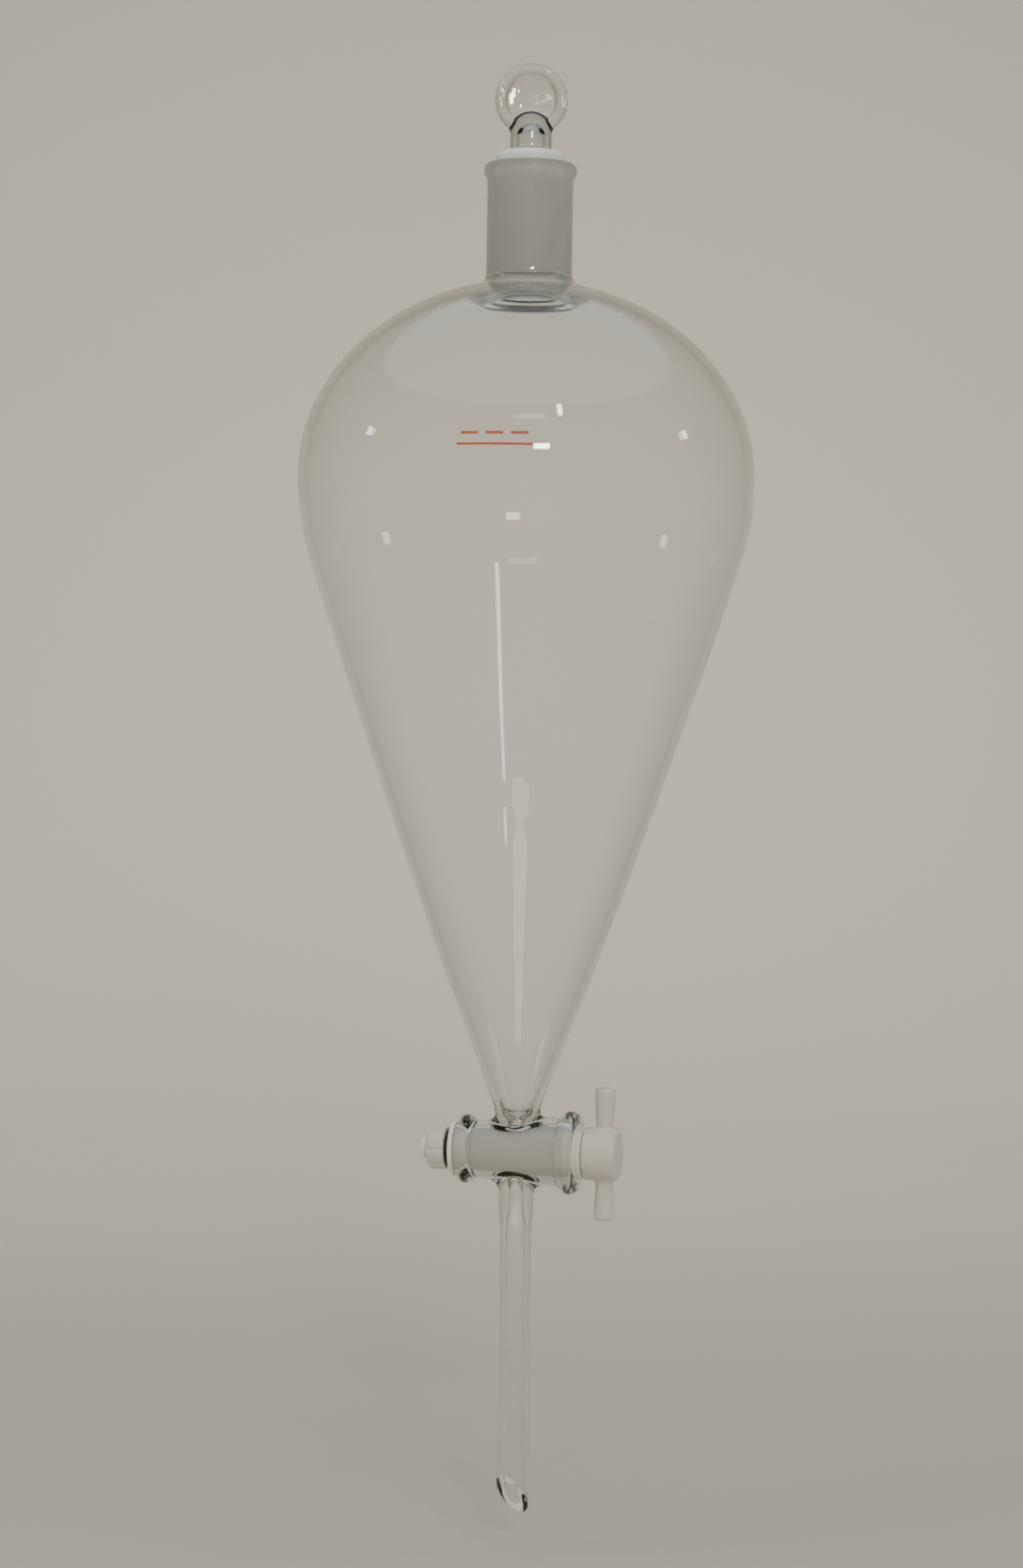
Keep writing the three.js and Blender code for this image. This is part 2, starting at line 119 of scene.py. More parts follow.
def mesh_from_tree(name, tree, inputs, base=None):
    """Runs a tree on a temporary object and returns its result as a plain mesh."""
    carrier = bpy.data.objects.new(name + "_making", base or bpy.data.meshes.new(name))
    bpy.context.scene.collection.objects.link(carrier)
    modifier = carrier.modifiers.new("shape", "NODES")
    modifier.node_group = tree
    for item in tree.interface.items_tree:
        if item.item_type == "SOCKET" and item.name in inputs:
            modifier[item.identifier] = inputs[item.name]
    depsgraph = bpy.context.evaluated_depsgraph_get()
    mesh = bpy.data.meshes.new_from_object(carrier.evaluated_get(depsgraph))
    bpy.data.objects.remove(carrier)
    mesh.name = name
    return mesh


def math_node(tree, operation, first, second=0.0):
    """A Math node whose inputs are numbers or sockets."""
    node = add_node(tree, "ShaderNodeMath", operation=operation)
    for slot, value in enumerate((first, second)):
        if isinstance(value, (int, float)):
            node.inputs[slot].default_value = value
        else:
            tree.links.new(value, node.inputs[slot])
    return node.outputs[0]


def build_turned_tree():
    """Spins a profile of (radius, 0, height) points round the Z axis, like a lathe."""
    tree = new_tree("turned_shape", [
        ("Profile", "Geometry"), ("Divisions", "Int"), ("Finish", "Material"),
        ("Flutes", "Int"), ("Flute Depth", "Float"), ("Flute Radius", "Float"),
        ("Thread Depth", "Float"), ("Thread Pitch", "Float"),
        ("Thread Low", "Float"), ("Thread High", "Float")])
    source = add_node(tree, "NodeGroupInput")
    profile = source.outputs["Profile"]
    size = add_node(tree, "GeometryNodeAttributeDomainSize", links={"Geometry": profile})
    rows = size.outputs["Point Count"]
    columns = math_node(tree, "ADD", source.outputs["Divisions"], 1.0)
    grid = add_node(tree, "GeometryNodeMeshGrid", values={"Size X": 1.0, "Size Y": 1.0},
                    links={"Vertices X": rows, "Vertices Y": columns})
    place = add_node(tree, "GeometryNodeInputPosition").outputs[0]
    split = add_node(tree, "ShaderNodeSeparateXYZ", links={"Vector": place})
    along = math_node(tree, "ADD", split.outputs["X"], 0.5)
    last_row = math_node(tree, "SUBTRACT", rows, 1.0)
    row = math_node(tree, "ROUND", math_node(tree, "MULTIPLY", along, last_row))
    turn = math_node(tree, "ADD", split.outputs["Y"], 0.5)
    angle = math_node(tree, "MULTIPLY", turn, 2.0 * math.pi)
    picked = add_node(tree, "GeometryNodeSampleIndex", data_type="FLOAT_VECTOR",
                      domain="POINT")
    tree.links.new(profile, picked.inputs["Geometry"])
    tree.links.new(place, picked.inputs["Value"])
    tree.links.new(row, picked.inputs["Index"])
    point = add_node(tree, "ShaderNodeSeparateXYZ", links={"Vector": picked.outputs[0]})
    radius, height = point.outputs["X"], point.outputs["Z"]
    # Flutes: narrow grooves along the axis, wherever the profile is wider than Flute Radius.
    wave = math_node(tree, "COSINE", math_node(tree, "MULTIPLY", angle,
                                               source.outputs["Flutes"]))
    groove = math_node(tree, "POWER", math_node(
        tree, "ADD", math_node(tree, "MULTIPLY", wave, 0.4999), 0.5), 7.0)
    outside = math_node(tree, "GREATER_THAN", radius, source.outputs["Flute Radius"])
    flute = math_node(tree, "MULTIPLY", math_node(tree, "MULTIPLY", groove, outside),
                      source.outputs["Flute Depth"])
    # Thread: one ridge that climbs by a pitch each turn, between two heights.
    climb = math_node(tree, "DIVIDE", height, source.outputs["Thread Pitch"])
    phase = math_node(tree, "ADD", climb, turn)
    ridge = math_node(tree, "PINGPONG", phase, 0.5)
    above = math_node(tree, "GREATER_THAN", height, source.outputs["Thread Low"])
    below = math_node(tree, "LESS_THAN", height, source.outputs["Thread High"])
    cut = math_node(tree, "MULTIPLY", math_node(tree, "MULTIPLY", above, below),
                    math_node(tree, "MULTIPLY", ridge, source.outputs["Thread Depth"]))
    radius = math_node(tree, "SUBTRACT", math_node(tree, "SUBTRACT", radius, flute), cut)
    across = math_node(tree, "MULTIPLY", radius, math_node(tree, "COSINE", angle))
    deep = math_node(tree, "MULTIPLY", radius, math_node(tree, "SINE", angle))
    target = add_node(tree, "ShaderNodeCombineXYZ",
                      links={"X": across, "Y": deep, "Z": height})
    moved = add_node(tree, "GeometryNodeSetPosition",
                     links={"Geometry": grid.outputs["Mesh"],
                            "Position": target.outputs["Vector"]})
    merged = add_node(tree, "GeometryNodeMergeByDistance", values={"Distance": 1e-6},
                      links={"Geometry": moved.outputs["Geometry"]})
    finish_tree(tree, merged.outputs["Geometry"], source)
    return tree


turned_tree = build_turned_tree()


def turned(name, profile, divisions, finish, **details):
    """A turned mesh from (radius, height) points in millimetres."""
    points = [(radius * MM, 0.0, height * MM) for radius, height in profile]
    line = bpy.data.meshes.new(name + "_profile")
    line.from_pydata(points, [(i, i + 1) for i in range(len(points) - 1)], [])
    inputs = {"Divisions": divisions, "Finish": finish, "Thread Pitch": 1.0, **details}
    return mesh_from_tree(name, turned_tree, inputs, line)


def arc(centre, radii, start, end, steps):
    """Points of an elliptical arc between two angles in degrees."""
    angles = np.radians(np.linspace(start, end, steps + 1))
    return [(centre[0] + radii[0] * math.cos(a), centre[1] + radii[1] * math.sin(a))
            for a in angles]


def smooth_step(value):
    share = np.clip(value, 0.0, 1.0)
    return share * share * (3.0 - 2.0 * share)


def smooth_min(first, second, reach):
    """The lower of two fields, rounded where they meet."""
    share = np.clip(0.5 + 0.5 * (second - first) / reach, 0.0, 1.0)
    return second + (first - second) * share - reach * share * (1.0 - share)


def smooth_max(first, second, reach):
    return -smooth_min(-first, -second, reach)


shoulder_x = bulb_radius - SHOULDER_BEND
bend = math.radians(SHOULDER_ANGLE)
cone_x = shoulder_x + (SHOULDER_BEND - CONE_BEND) * math.cos(bend)
cone_z = EQUATOR_Z - (SHOULDER_BEND - CONE_BEND) * math.sin(bend)


def cone_radius(z, inset=0.0):
    """The slightly bowed cone, drawn in a little more near its end."""
    share = (cone_z - z) / (CONE_BEND - inset)
    drawn_in = 0.8 * smooth_step((-60.0 - z) / 50.0)
    return cone_x + (CONE_BEND - inset) * np.sqrt(1.0 - share * share) - drawn_in


def bulb_profile(inset, top_radius, bottom):
    """The bulb's surface from its lower end up to its neck seal, at a depth in the wall."""
    cone_top = EQUATOR_Z - (SHOULDER_BEND - inset) * math.sin(bend)
    heights = np.linspace(bottom, cone_top, 46)[:-1]
    cone = [(float(cone_radius(z, inset)), float(z)) for z in heights]
    reach = SHOULDER_BEND - inset
    shoulder = arc((shoulder_x, EQUATOR_Z), (reach, reach), -SHOULDER_ANGLE, 0.0, 10)
    half_width = bulb_radius - inset
    top_angle = math.degrees(math.acos(top_radius / half_width))
    dome = arc((0.0, EQUATOR_Z), (half_width, DOME_RISE - inset), 0.0, top_angle, 44)
    return cone + shoulder[:-1] + dome


def upper_body_profile():
    """From the foot of the bulb, up the outside, over the rim and down the inside."""
    outside = bulb_profile(0.0, SEAM_RADIUS, NET_TOP + 0.6)
    seam_z = outside[-1][1]
    # The seal is a thick soft ring between dome and neck.
    fillet = arc((NECK_RADIUS + 3.7, seam_z + 4.4), (3.7, 4.1), -94.0, -180.0, 9)
    neck = [(NECK_RADIUS, z) for z in np.linspace(seam_z + 6.0, rim_z - RIM_HEIGHT - 0.8, 6)]
    lip_bend = (RIM_RADIUS - NECK_RADIUS) + 0.5
    lip = arc((RIM_RADIUS - lip_bend, rim_z - RIM_HEIGHT / 2), (lip_bend, RIM_HEIGHT / 2),
              -62.0, 78.0, 12)
    top = [(MOUTH_RADIUS + 1.4, rim_z), (MOUTH_RADIUS + 0.6, rim_z)]
    mouth = arc((MOUTH_RADIUS + 0.5, rim_z - 0.5), (0.5, 0.5), 90.0, 180.0, 4)
    ground_end = rim_z - GROUND_LENGTH
    bore = [(MOUTH_RADIUS - SOCKET_TAPER * (rim_z - z), float(z))
            for z in np.linspace(rim_z - 0.8, ground_end, 14)]
    end_radius = bore[-1][0]
    # Below the ground zone the thick, softened seal keeps the shaping tool's rings.
    inside = bulb_profile(WALL, SEAL_FOOT_RADIUS + 5.0, NET_TOP + 0.6)[::-1]
    rings = []
    for share in np.linspace(0.0, 1.0, 46)[1:]:
        z = ground_end + (SEAL_FOOT_Z - ground_end) * share
        spread = (SEAL_FOOT_RADIUS - end_radius) * share ** 2.4
        ripple = 0.32 * math.sin(share * 4.5 * 2.0 * math.pi) * float(smooth_step(share * 3.0))
        rings.append((end_radius + 0.35 * float(smooth_step(share * 8)) + spread + ripple, z))
    foot_rise = inside[0][1] - SEAL_FOOT_Z
    rings += [(SEAL_FOOT_RADIUS + 5.0 * share, SEAL_FOOT_Z - 0.2 * math.sin(share * math.pi)
               + foot_rise * float(smooth_step(share))) for share in (0.15, 0.3, 0.45, 0.6, 0.8)]
    return outside + fillet[1:] + neck + lip + top + mouth[1:] + bore + rings + inside


STEM_RADIUS = 5.5
STEM_BORE = 2.8
UPPER_PORT = 2.3
LOWER_PORT = 2.1
STRAIGHT_LENGTH = 70.0
TIP_LEVEL = -252.0
TIP_SLOPE = 1.35
TIP_DIRECTION = math.radians(70.5)
tip_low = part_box("drain_stem")[0][2] / MM


def stem_profile():
    """The drip stem, from its flared top down the outside, round the tip, up the bore."""
    top = NET_BOTTOM - 0.6
    outside = [(STEM_RADIUS + 0.6 * float(smooth_step(1.0 - (top - z) / 10.0)), float(z))
               for z in np.linspace(top, top - 12.0, 16)]
    outside += [(STEM_RADIUS, float(z)) for z in np.linspace(top - 16.0, TIP_LEVEL, 16)]
    lip_half = (STEM_RADIUS - STEM_BORE) / 2
    tip = arc((STEM_RADIUS - lip_half, TIP_LEVEL), (lip_half, 1.15), 0.0, -180.0, 14)
    inside = [(STEM_BORE, float(z)) for z in np.linspace(TIP_LEVEL, top - 14.0, 16)]
    inside += [(LOWER_PORT + 0.7 * float(smooth_step((top - z) / 9.0)), float(z))
               for z in np.linspace(top - 12.0, top, 16)]
    return outside + tip[1:-1] + inside


BARREL_RADIUS = 11.05
BARREL_TAPER = 0.078
RING_WIDTH = 5.6
RINGS = ((barrel_low[0], 1, 11.85), (barrel_high[0], -1, 14.3))
PLUG_RADIUS = 7.92
PLUG_TAPER = 0.0436
BORE_CLEARANCE = 0.12
RELIEF_X = 15.9
RELIEF_RADIUS = 9.35


def stopcock_field(p):
    """Below zero inside the stopcock's glass; smooth where its tubes flow together."""
    x, y, z = p[..., 0], p[..., 1], p[..., 2]
    from_cock = np.hypot(y, z - cock_z)
    from_axis = np.hypot(x, y)
    middle = (barrel_low[0] + barrel_high[0]) / 2
    half = (barrel_high[0] - barrel_low[0]) / 2
    barrel = from_cock - (BARREL_RADIUS + BARREL_TAPER * x)
    for end, side, radius in RINGS:
        along = (x - end - side * RING_WIDTH / 2) / (RING_WIDTH / 2)
        up = (from_cock - radius + 2.5) / 2.5
        barrel = smooth_min(barrel, (np.hypot(along, up) - 1.0) * 2.6, 0.9)
    barrel = smooth_max(barrel, np.abs(x - middle) - half + 0.15, 0.7)
    upper = smooth_max(cone_radius(z), np.full_like(z, 7.5), 0.8)
    upper = upper + 0.3 * np.exp(-((z + 119.3) / 0.9) ** 2)
    arm = from_axis - np.where(z > cock_z, upper, 6.1)
    outer = smooth_min(barrel, arm, np.where(z > cock_z, 3.4, 4.2))
    bore_step = smooth_step((x - RELIEF_X) / 0.5)
    plug = PLUG_RADIUS + PLUG_TAPER * x + BORE_CLEARANCE
    bore = from_cock - (plug + (RELIEF_RADIUS - plug) * bore_step)
    funnel = smooth_max(from_axis - cone_radius(z, WALL), -122.2 - z, 2.4)
    port = from_axis - np.where(z > cock_z, UPPER_PORT, LOWER_PORT)
    inner = smooth_min(smooth_min(funnel, port, 1.0), bore, 0.5)
    return smooth_max(outer, -inner, 0.45)


def surface_net(field, low, high, step):
    """Points and four-cornered faces on a field's zero surface inside a box."""
    counts = [int(round((high[i] - low[i]) / step)) + 1 for i in range(3)]
    axes = [np.linspace(low[i], high[i], counts[i]) for i in range(3)]
    grid = np.stack(np.meshgrid(*axes, indexing="ij"), -1)
    value = field(grid)
    inside = value < 0.0
    cells = tuple(n - 1 for n in counts)
    total = np.zeros(cells + (3,))
    hits = np.zeros(cells)
    crossings = []
    for axis in range(3):
        near = tuple(slice(None, -1) if i == axis else slice(None) for i in range(3))
        far = tuple(slice(1, None) if i == axis else slice(None) for i in range(3))
        crossed = inside[near] != inside[far]
        gap = np.where(crossed, value[near] - value[far], 1.0)
        share = np.where(crossed, value[near] / gap, 0.0)[..., None]
        spot = (grid[near] + share * (grid[far] - grid[near])) * crossed[..., None]
        others = [i for i in range(3) if i != axis]
        for steps in itertools.product((0, 1), repeat=2):
            window = [slice(None)] * 3
            for other, offset in zip(others, steps):
                window[other] = slice(offset, cells[other] + offset)
            total += spot[tuple(window)]
            hits += crossed[tuple(window)]
        crossings.append((axis, others, crossed))
    active = hits > 0
    index = np.full(cells, -1)
    index[active] = np.arange(active.sum())
    points = total[active] / hits[active][:, None]
    faces = []
    for axis, others, crossed in crossings:
        spots = np.argwhere(crossed)
        keep = np.ones(len(spots), bool)
        for other in others:
            keep &= (spots[:, other] > 0) & (spots[:, other] < counts[other] - 1)
        spots = spots[keep]
        corners = []
        for steps in ((1, 1), (0, 1), (0, 0), (1, 0)):
            cell = spots.copy()
            for other, back in zip(others, steps):
                cell[:, other] -= back
            corners.append(index[tuple(cell.T)])
        faces.append(np.column_stack(corners))
    return points, np.concatenate(faces)


def face_edges(faces):
    """Each edge once, and how many faces use it."""
    pairs = np.concatenate([faces[:, [i, (i + 1) % 4]] for i in range(4)])
    return np.unique(np.sort(pairs, axis=1), axis=0, return_counts=True)


def settle(field, points, faces, low_end=0.0, high_end=0.0, rounds=4):
    """Evens out a net and pulls its points exactly onto the surface."""
    edges, uses = face_edges(faces)
    border = np.zeros(len(points), bool)
    border[edges[uses == 1].ravel()] = True
    middle = (low_end + high_end) / 2
    points[border, 2] = np.where(points[border, 2] > middle, high_end, low_end)
    reach = 0.01
    for turn in range(rounds + 1):
        if turn < rounds:
            total = np.zeros_like(points)
            count = np.zeros(len(points))
            for one, two in ((0, 1), (1, 0)):
                np.add.at(total, edges[:, one], points[edges[:, two]])
                np.add.at(count, edges[:, one], 1.0)
            mean = total / count[:, None]
            points = np.where(border[:, None], points, 0.5 * (points + mean))
        for _ in range(3):
            slope = np.empty_like(points)
            for i in range(3):
                side = np.zeros(3)
                side[i] = reach
                slope[:, i] = (field(points + side) - field(points - side)) / (2 * reach)
            slope[border, 2] = 0.0
            steep = np.maximum((slope ** 2).sum(1), 0.05)
            points = points - slope * (field(points) / steep)[:, None]
    return points


def zip_rings(points, first, second):
    """Triangles between two rings that run round the Z axis."""
    rings = []
    for ring in (np.asarray(first), np.asarray(second)):
        angles = np.arctan2(points[ring, 1], points[ring, 0])
        order = np.argsort(angles)
        rings.append((ring[order], np.append(angles[order], angles[order][0] + 2 * math.pi)))
    (a, a_angle), (b, b_angle) = rings
    i = j = 0
    triangles = []
    while i < len(a) or j < len(b):
        if j == len(b) or (i < len(a) and a_angle[i + 1] <= b_angle[j + 1]):
            triangles.append((a[i], a[(i + 1) % len(a)], b[j % len(b)]))
            i += 1
        else:
            triangles.append((a[i % len(a)], b[(j + 1) % len(b)], b[j]))
            j += 1
    return triangles


def border_rings(points, faces):
    """The rings of points along a mesh's open edges."""
    uses = {}
    for face in faces:
        for one, two in zip(face, face[1:] + face[:1]):
            key = (min(one, two), max(one, two))
            uses[key] = uses.get(key, 0) + 1
    links = {}
    for (one, two), count in uses.items():
        if count == 1:
            links.setdefault(one, []).append(two)
            links.setdefault(two, []).append(one)
    rings = []
    left = set(links)
    while left:
        ring = [left.pop()]
        stack = list(ring)
        while stack:
            for other in links[stack.pop()]:
                if other in left:
                    left.remove(other)
                    ring.append(other)
                    stack.append(other)
        rings.append(ring)
    return rings


def join_at_rings(parts):
    """One mesh from several, zipped where open rings lie close to each other."""
    points = []
    faces = []
    offset = 0
    for part_points, part_faces in parts:
        points.append(np.asarray(part_points))
        faces += [[int(v) + offset for v in face] for face in part_faces]
        offset += len(part_points)
    points = np.concatenate(points)
    rings = border_rings(points, faces)
    facts = [(points[ring, 2].mean(), np.hypot(points[ring, 0], points[ring, 1]).mean())
             for ring in rings]
    free = set(range(len(rings)))
    while free:
        one = free.pop()
        two = min(free, key=lambda k: abs(facts[k][0] - facts[one][0])
                  + abs(facts[k][1] - facts[one][1]))
        free.remove(two)
        faces += zip_rings(points, rings[one], rings[two])
    return points, faces


def mesh_arrays(mesh):
    """A mesh's points, in millimetres, and its faces."""
    flat = np.empty(len(mesh.vertices) * 3)
    mesh.vertices.foreach_get("co", flat)
    return flat.reshape(-1, 3) / MM, [list(p.vertices) for p in mesh.polygons]


def mesh_from_arrays(name, points, faces, finishes):
    """A closed smooth mesh with outward faces."""
    mesh = bpy.data.meshes.new(name)
    mesh.from_pydata((np.asarray(points) * MM).tolist(), [], [list(f) for f in faces])
    for finish in finishes:
        mesh.materials.append(finish)
    tidy_normals(mesh)
    return mesh


def tidy_normals(mesh):
    shape = bmesh.new()
    shape.from_mesh(mesh)
    bmesh.ops.recalc_face_normals(shape, faces=shape.faces[:])
    for face in shape.faces:
        face.smooth = True
    shape.to_mesh(mesh)
    shape.free()


def add_piece(name, mesh, body, nodes=()):
    """Puts a finished mesh in the scene, on its body, standing for its CAD nodes."""
    piece = bpy.data.objects.new(name, mesh)
    bpy.context.scene.collection.objects.link(piece)
    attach(piece, body)
    if nodes:
        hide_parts(*nodes)
    return piece


def linear(hex_colour):
    """An sRGB hex colour as linear red, green, blue and alpha."""
    parts = [int(hex_colour[i:i + 2], 16) / 255 for i in (1, 3, 5)]
    lin = [c / 12.92 if c <= 0.04045 else ((c + 0.055) / 1.055) ** 2.4 for c in parts]
    return (*lin, 1.0)


def new_material(name, values):
    """A material with one Principled shader and the given constants."""
    material = bpy.data.materials.new(name)
    material.use_nodes = True
    tree = material.node_tree
    tree.nodes.clear()
    shader = add_node(tree, "ShaderNodeBsdfPrincipled", values=values)
    output = add_node(tree, "ShaderNodeOutputMaterial",
                      links={"Surface": shader.outputs["BSDF"]})
    place = add_node(tree, "ShaderNodeTexCoord").outputs["Object"]
    return material, tree, shader, output, place


def bump(tree, shader, height, distance, strength=1.0):
    """Small relief from a height between 0 and 1, at a real distance in millimetres."""
    relief = add_node(tree, "ShaderNodeBump", links={"Height": height},
                      values={"Strength": strength, "Distance": distance * MM})
    tree.links.new(relief.outputs["Normal"], shader.inputs["Normal"])


# Borosilicate glass is colourless in a thin wall, and faintly green and grey where the eye
# looks along it: that colour is absorbed on the way through, so thick edges are darker.
GLASS_IOR = 1.474


def absorb(tree, output, colour, density):
    volume = add_node(tree, "ShaderNodeVolumeAbsorption",
                      values={"Color": linear(colour), "Density": density})
    tree.links.new(volume.outputs["Volume"], output.inputs["Volume"])


clear_glass, tree, shader, output, place = new_material("fire_polished_borosilicate", {
    "Base Color": linear("#FFFFFF"), "Transmission Weight": 1.0, "Roughness": 0.0,
    "IOR": GLASS_IOR})
absorb(tree, output, "#B3C4BA", 22.0)
# Blown glass is not dead flat: soft cords a few centimetres long bend reflections a little.
cords = add_node(tree, "ShaderNodeTexNoise", links={"Vector": place},
                 values={"Scale": 22.0, "Detail": 1.0, "Roughness": 0.4})
bump(tree, shader, cords.outputs[0], 0.12)

# Ground glass is cut with fine grit: a frosted, milky white that lets only a little light through.
ground_glass, tree, shader, output, place = new_material("ground_borosilicate", {
    "Base Color": linear("#FDFDFB"), "Transmission Weight": 0.2, "Roughness": 0.5,
    "IOR": GLASS_IOR})
absorb(tree, output, "#B3C4BA", 22.0)
grit = add_node(tree, "ShaderNodeTexNoise", links={"Vector": place},
                values={"Scale": 2200.0, "Detail": 2.0})
bump(tree, shader, grit.outputs[0], 0.02)

upper = mesh_arrays(turned("upper_body", upper_body_profile(), 160, clear_glass))
stem_points, stem_faces = mesh_arrays(turned("stem", stem_profile(), 96, clear_glass))
# The cut leans: points below the level of the highest side follow a slanted plane.
lean = math.cos(TIP_DIRECTION) * stem_points[:, 0] + math.sin(TIP_DIRECTION) * stem_points[:, 1]
straight_end = stem_top - STRAIGHT_LENGTH
follow = smooth_step((straight_end - stem_points[:, 2]) / (straight_end - TIP_LEVEL))
plane = tip_low + TIP_SLOPE * (STEM_RADIUS - lean)
stem_points[:, 2] += (plane + 1.0 - TIP_LEVEL) * follow
net_points, net_faces = surface_net(
    stopcock_field, (barrel_low[0] - NET_MARGIN, -NET_SIDE, NET_BOTTOM),
    (barrel_high[0] + NET_MARGIN, NET_SIDE, NET_TOP), NET_STEP)
net_points = settle(stopcock_field, net_points, net_faces, NET_BOTTOM, NET_TOP)
glass_points, glass_faces = join_at_rings(
    [upper, (net_points, net_faces), (stem_points, stem_faces)])
glass_mesh = mesh_from_arrays("glass_body", glass_points, glass_faces,
                              (clear_glass, ground_glass))
for face in glass_mesh.polygons:
    centre = face.center / MM
    radius = math.hypot(centre[0], centre[1])
    if rim_z - GROUND_LENGTH < centre[2] < rim_z - 0.3 and radius < MOUTH_RADIUS + 0.2:
        face.material_index = 1
add_piece("glass_body", glass_mesh, "glass_body",
          ("neck_socket", "bulb_dome", "bulb_cone", "stopcock_barrel", "drain_stem"))


# --- Graduation mark ----------------------------------------------------------------------
# A plain fill mark in red enamel, fired on the front of the bulb: one long line and a broken
# one above it, with no lettering.
FRONT_AZIMUTH = 13.5
MARK_TURN = math.radians(-90.0 + FRONT_AZIMUTH)
MARK_Z = 103.8
MARK_SKIN = 0.05
MARK_ENDS = (-23.3, 1.6)
DASH_HALF = 2.9
DASH_PITCH = 8.3


def mottle(tree, shader, pattern, first, second):
    """Lets a pattern drift the base colour between two close ones."""
    tint = add_node(tree, "ShaderNodeMix", data_type="RGBA", links={"Factor": pattern})
    tint.inputs[6].default_value = linear(first)
    tint.inputs[7].default_value = linear(second)
    tree.links.new(tint.outputs[2], shader.inputs["Base Color"])


red_enamel, tree, shader, output, place = new_material("fired_red_enamel", {
    "Base Color": linear("#C4452F"), "Roughness": 0.38, "IOR": 1.5})
# Screen-printed enamel is a thin, uneven coat, so its red is broken and a little pale.
coat = add_node(tree, "ShaderNodeTexNoise", links={"Vector": place},
                values={"Scale": 900.0, "Detail": 3.0})
mottle(tree, shader, coat.outputs[0], "#B83A28", "#D8705A")


def dome_radius(z):
    return bulb_radius * math.sqrt(1.0 - ((z - EQUATOR_Z) / DOME_RISE) ** 2)


def enamel_bar(shape, left, right, low, high, steps):
    """A thin closed strip that follows the bulb, from its inner to its outer skin."""
    layers = []
    for skin in (0.004, MARK_SKIN):
        rows = []
        for z in np.linspace(low, high, 3):
            radius = dome_radius(z) + skin
            row = []
            for across in np.linspace(left, right, steps + 1):
                turn = MARK_TURN + across / bulb_radius
                row.append(shape.verts.new((radius * math.cos(turn) * MM,
                                            radius * math.sin(turn) * MM, z * MM)))
            rows.append(row)
        layers.append(rows)
    inner, outer = layers
    for i in range(2):
        for j in range(steps):
            for rows in layers:
                shape.faces.new((rows[i][j], rows[i][j + 1], rows[i + 1][j + 1],
                                 rows[i + 1][j]))
    for row in (0, 2):
        for j in range(steps):
            shape.faces.new((inner[row][j], inner[row][j + 1], outer[row][j + 1],
                             outer[row][j]))
    for j in (0, steps):
        for i in range(2):
            shape.faces.new((inner[i][j], inner[i + 1][j], outer[i + 1][j], outer[i][j]))


mark_shape = bmesh.new()
enamel_bar(mark_shape, *MARK_ENDS, MARK_Z, MARK_Z + 0.8, 20)
for dash in (-1, 0, 1):
    middle = sum(MARK_ENDS) / 2 + dash * DASH_PITCH
    enamel_bar(mark_shape, middle - DASH_HALF, middle + DASH_HALF, MARK_Z + 3.6, MARK_Z + 4.5, 5)
mark_mesh = bpy.data.meshes.new("graduation_mark")
mark_shape.to_mesh(mark_mesh)
mark_shape.free()
mark_mesh.materials.append(red_enamel)
tidy_normals(mark_mesh)
add_piece("graduation_mark", mark_mesh, "glass_body")


# --- Stopper ------------------------------------------------------------------------------
# A hollow stopper of borosilicate glass: blown, sealed at its foot, pressed to a flat round
# head with a thick rim while soft, then its cone ground to the socket's taper.
STOPPER_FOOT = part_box("stopper")[0][2] / MM
HEAD_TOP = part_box("stopper")[1][2] / MM
HEAD_RADIUS = 12.65
HEAD_TURN = math.radians(FRONT_AZIMUTH)
HEAD_NET_LOW = 213.2
CONE_TOP = 208.3
STOPPER_GAP = 0.06
STOPPER_NECK = 7.2
STOPPER_DOME = 224.2
head_z = HEAD_TOP - HEAD_RADIUS - 0.05


def stopper_radius(z):
    return MOUTH_RADIUS - SOCKET_TAPER * (rim_z - z) - STOPPER_GAP


def head_field(p):
    """Below zero inside the stopper's neck and its flat round head."""
    x, y, z = p[..., 0], p[..., 1], p[..., 2]
    across = x * math.cos(HEAD_TURN) + y * math.sin(HEAD_TURN)
    through = y * math.cos(HEAD_TURN) - x * math.sin(HEAD_TURN)
    out = np.hypot(across, z - head_z)
    web = smooth_max(np.abs(through) - 1.45 - 0.3 * (out / 10.0) ** 2, out - 10.8, 0.8)
    rim = (np.hypot((out - HEAD_RADIUS + 2.1) / 2.1, through / 2.9) - 1.0) * 2.3
    neck_top = STOPPER_DOME - STOPPER_NECK
    neck = np.hypot(np.hypot(x, y), np.maximum(z - neck_top, 0.0)) - STOPPER_NECK
    return smooth_min(smooth_min(web, rim, 1.1), neck, 1.3)


foot_radius = stopper_radius(STOPPER_FOOT + 2.2)
stopper_outside = [(0.0, STOPPER_FOOT + 0.3), (foot_radius * 0.4, STOPPER_FOOT + 0.2)]
stopper_outside += arc((foot_radius - 2.2, STOPPER_FOOT + 2.2), (2.2, 2.2), -90.0, 0.0, 8)
stopper_outside += [(stopper_radius(z), float(z))
                    for z in np.linspace(STOPPER_FOOT + 3.0, CONE_TOP, 12)]
shoulder_width = stopper_radius(CONE_TOP) - STOPPER_NECK - 0.9
stopper_outside += arc((STOPPER_NECK + 0.9, CONE_TOP + 0.3),
                       (shoulder_width, 2.5), 8.0, 86.0, 9)
stopper_outside += arc((STOPPER_NECK + 0.9, CONE_TOP + 3.7), (0.9, 0.9), -90.0, -180.0, 5)
stopper_outside += [(STOPPER_NECK, HEAD_NET_LOW - 0.5)]
cavity = [(0.0, STOPPER_FOOT + 2.4), (foot_radius * 0.45, STOPPER_FOOT + 2.3)]
